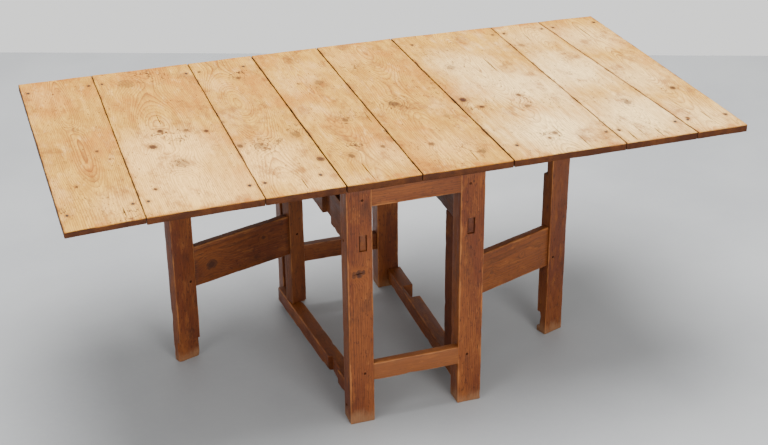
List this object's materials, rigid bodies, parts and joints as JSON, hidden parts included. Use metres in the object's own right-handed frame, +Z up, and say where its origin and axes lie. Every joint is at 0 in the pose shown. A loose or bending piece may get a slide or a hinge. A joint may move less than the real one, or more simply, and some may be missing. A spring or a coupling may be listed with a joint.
{
  "type": "gateleg table",
  "caption": "Rustic pine gateleg table: plank top with a strap-hinged leaf on each long side, carried by pintle-hung gates that fold into a narrow pegged base.",
  "frame": {"origin": "middle of the opened top's outline, on the floor", "axes": "+X along the opened length (across the boards) towards the right leaf, -Y towards the front, +Z up"},
  "size_m": [1.894, 1.01, 0.75],
  "materials": {
    "scrubbed_top_pine": "scrubbed bare pine, waxed",
    "stained_frame_pine": "old reddish-brown stain, worn satin",
    "batten_pine": "unfinished, aged",
    "peg_wood": "dark hardwood, satin",
    "forged_iron": "dark forged, dull"
  },
  "bodies": {
    "base": {"leg_front_left": "stained_frame_pine", "leg_front_right": "stained_frame_pine", "leg_rear_left": "stained_frame_pine", "leg_rear_right": "stained_frame_pine", "top_rail_front": "stained_frame_pine", "top_rail_rear": "stained_frame_pine", "stretcher_front": "stained_frame_pine", "stretcher_rear": "stained_frame_pine", "side_rail_left": "stained_frame_pine", "side_rail_right": "stained_frame_pine", "stretcher_left": "stained_frame_pine", "stretcher_right": "stained_frame_pine", "frame_pegs": "peg_wood", "top_board_left": "scrubbed_top_pine", "top_board_right": "scrubbed_top_pine", "top_dowels": "peg_wood", "left_hinge_fixed_straps": "forged_iron", "left_hinge_pins": "forged_iron", "right_hinge_fixed_straps": "forged_iron", "right_hinge_pins": "forged_iron", "fixed_hinge_nails": "forged_iron"},
    "left_leaf": {"left_leaf_board_outer": "scrubbed_top_pine", "left_leaf_board_middle": "scrubbed_top_pine", "left_leaf_board_inner": "scrubbed_top_pine", "left_leaf_batten_front": "batten_pine", "left_leaf_batten_rear": "batten_pine", "left_leaf_nails": "forged_iron", "left_hinge_leaf_straps": "forged_iron", "left_hinge_nails": "forged_iron"},
    "right_leaf": {"right_leaf_board_inner": "scrubbed_top_pine", "right_leaf_board_middle": "scrubbed_top_pine", "right_leaf_board_outer": "scrubbed_top_pine", "right_leaf_batten_front": "batten_pine", "right_leaf_batten_rear": "batten_pine", "right_leaf_nails": "forged_iron", "right_hinge_leaf_straps": "forged_iron", "right_hinge_nails": "forged_iron"},
    "left_gate": {"left_gate_post": "stained_frame_pine", "left_gate_rail": "stained_frame_pine", "left_gate_leg": "stained_frame_pine", "left_gate_pegs": "peg_wood"},
    "right_gate": {"right_gate_post": "stained_frame_pine", "right_gate_rail": "stained_frame_pine", "right_gate_leg": "stained_frame_pine", "right_gate_pegs": "peg_wood"}
  },
  "joints": [
    {"name": "left_leaf_hinge", "type": "hinge", "parent": "base", "child": "left_leaf", "pos_m": [-0.227, 0, 0.722], "axis": [0, 1, 0], "range_deg": [0, 4]},
    {"name": "right_leaf_hinge", "type": "hinge", "parent": "base", "child": "right_leaf", "pos_m": [0.239, 0, 0.722], "axis": [0, -1, 0], "range_deg": [0, 4]},
    {"name": "left_gate_pivot", "type": "hinge", "parent": "base", "child": "left_gate", "pos_m": [-0.21, 0.124, 0], "axis": [0, 0, 1], "range_deg": [-17.5, 72.5]},
    {"name": "right_gate_pivot", "type": "hinge", "parent": "base", "child": "right_gate", "pos_m": [0.144, -0.337, 0], "axis": [0, 0, 1], "range_deg": [-20, 70]}
  ]
}
